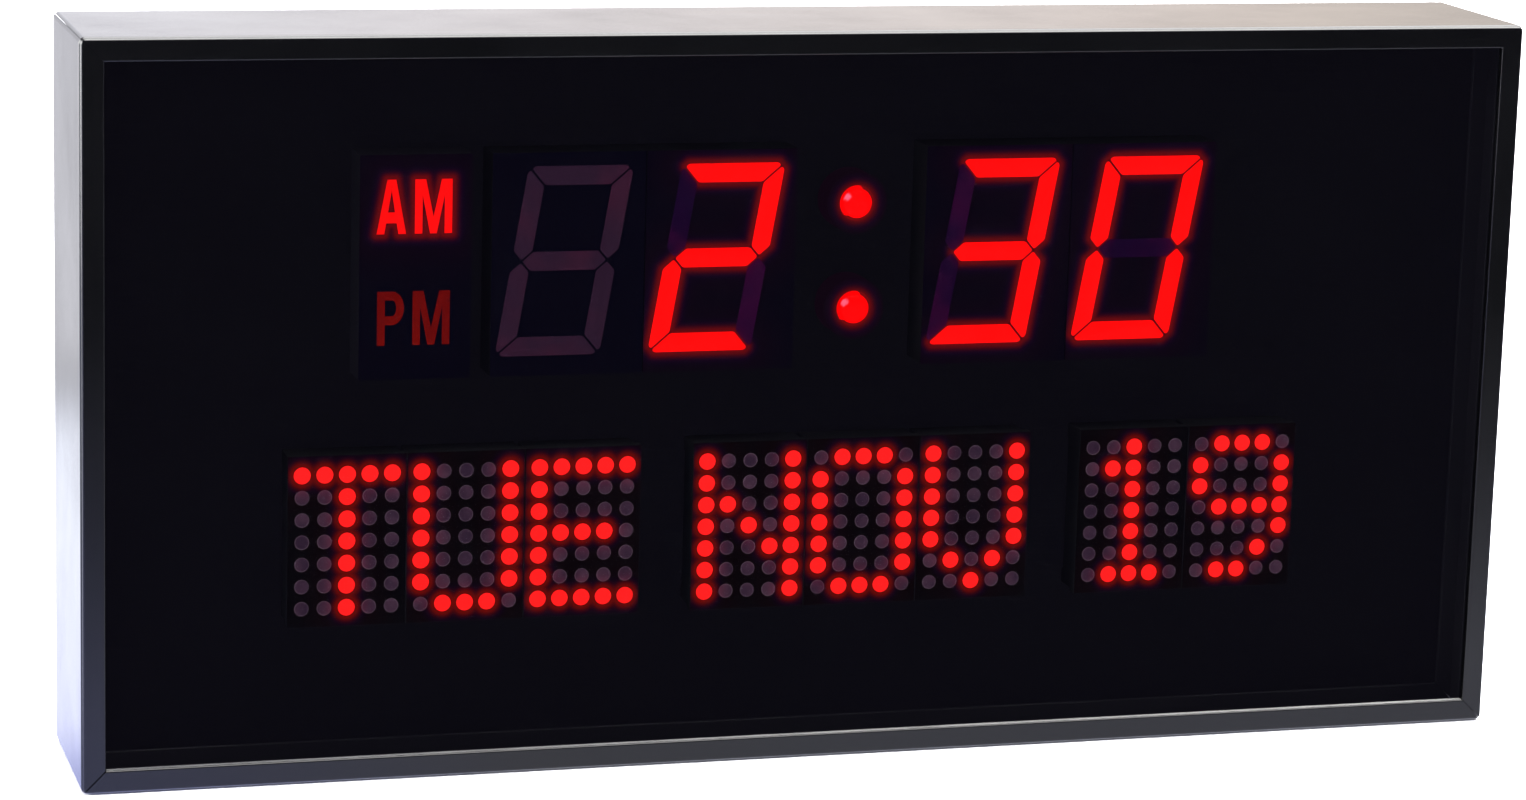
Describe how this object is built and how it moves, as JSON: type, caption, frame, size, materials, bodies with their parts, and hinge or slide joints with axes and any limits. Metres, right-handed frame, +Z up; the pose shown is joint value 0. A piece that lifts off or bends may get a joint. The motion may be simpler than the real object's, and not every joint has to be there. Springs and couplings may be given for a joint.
{
  "type": "led calendar wall clock",
  "caption": "Rectangular box clock with red digit and dot-matrix display behind a smoked lens in a black aluminium frame, with rear buttons, hanging slots and fold-down legs.",
  "frame": {"origin": "middle of the footprint, on the surface that the clock stands on", "axes": "+X to the right of someone who looks at the display, +Y to the rear (the display faces -Y), +Z up"},
  "size_m": [0.4, 0.056, 0.2],
  "materials": {
    "frame_black": "satin black anodised extrusion",
    "smoked_lens": "polished smoked acrylic",
    "module_black": "matt black display face",
    "red_diffuser": "red diffusing light guide",
    "circuit_board": "green solder mask",
    "chip_black": "matt black moulding",
    "steel": "bright zinc plated",
    "cover_black": "fine textured black moulding",
    "button_grey": "matt grey moulding",
    "cable_grey": "grey ribbon insulation"
  },
  "bodies": {
    "case": {"frame_bottom": "frame_black", "frame_top": "frame_black", "frame_left": "frame_black", "frame_right": "frame_black", "front_lens": "smoked_lens", "digit_1_housing": "module_black", "digit_2_housing": "module_black", "digit_3_housing": "module_black", "digit_4_housing": "module_black", "indicator_housing": "module_black", "matrix_1": "module_black", "matrix_2": "module_black", "matrix_3": "module_black", "matrix_4": "module_black", "matrix_5": "module_black", "matrix_6": "module_black", "matrix_7": "module_black", "matrix_8": "module_black", "digit_1_segments": "red_diffuser", "digit_2_segments": "red_diffuser", "digit_3_segments": "red_diffuser", "digit_4_segments": "red_diffuser", "indicator_window": "red_diffuser", "colon_lamp_upper": "red_diffuser", "colon_lamp_lower": "red_diffuser", "display_board": "circuit_board", "control_board": "circuit_board", "driver_chip": "chip_black", "clock_chip": "chip_black", "switch_up": "chip_black", "switch_down": "chip_black", "switch_set": "chip_black", "switch_mode": "chip_black", "power_socket": "chip_black", "cell_holder": "chip_black", "corner_key_lower_left": "steel", "corner_key_lower_right": "steel", "corner_key_upper_left": "steel", "corner_key_upper_right": "steel", "cover_screw_1": "steel", "cover_screw_2": "steel", "cover_screw_3": "steel", "cover_screw_4": "steel", "cover_screw_5": "steel", "cover_screw_6": "steel", "quartz_crystal": "steel", "power_socket_nut": "steel", "coin_cell": "steel", "leg_pin_left": "steel", "leg_pin_right": "steel", "rear_cover": "cover_black", "ribbon_cable": "cable_grey"},
    "leg_left": {"leg_left": "cover_black"},
    "leg_right": {"leg_right": "cover_black"},
    "battery_door": {"battery_door": "cover_black"},
    "button_set": {"button_set": "button_grey"},
    "button_up": {"button_up": "button_grey"},
    "button_down": {"button_down": "button_grey"},
    "button_mode": {"button_mode": "button_grey"}
  },
  "joints": [
    {"name": "leg_left_fold", "type": "hinge", "parent": "case", "child": "leg_left", "pos_m": [-0.15, 0.0202, 0.0078], "axis": [-1, 0, 0], "range_deg": [0, 90]},
    {"name": "leg_right_fold", "type": "hinge", "parent": "case", "child": "leg_right", "pos_m": [0.15, 0.0202, 0.0078], "axis": [-1, 0, 0], "range_deg": [0, 90]},
    {"name": "battery_door_slide", "type": "slide", "parent": "case", "child": "battery_door", "axis": [-1, 0, 0], "range_m": [0, 0.03]},
    {"name": "button_set_press", "type": "slide", "parent": "case", "child": "button_set", "axis": [0, -1, 0], "range_m": [0, 0.0008], "stiffness_N_per_m": 1200},
    {"name": "button_up_press", "type": "slide", "parent": "case", "child": "button_up", "axis": [0, -1, 0], "range_m": [0, 0.0008], "stiffness_N_per_m": 1200},
    {"name": "button_down_press", "type": "slide", "parent": "case", "child": "button_down", "axis": [0, -1, 0], "range_m": [0, 0.0008], "stiffness_N_per_m": 1200},
    {"name": "button_mode_press", "type": "slide", "parent": "case", "child": "button_mode", "axis": [0, -1, 0], "range_m": [0, 0.0008], "stiffness_N_per_m": 1200}
  ]
}
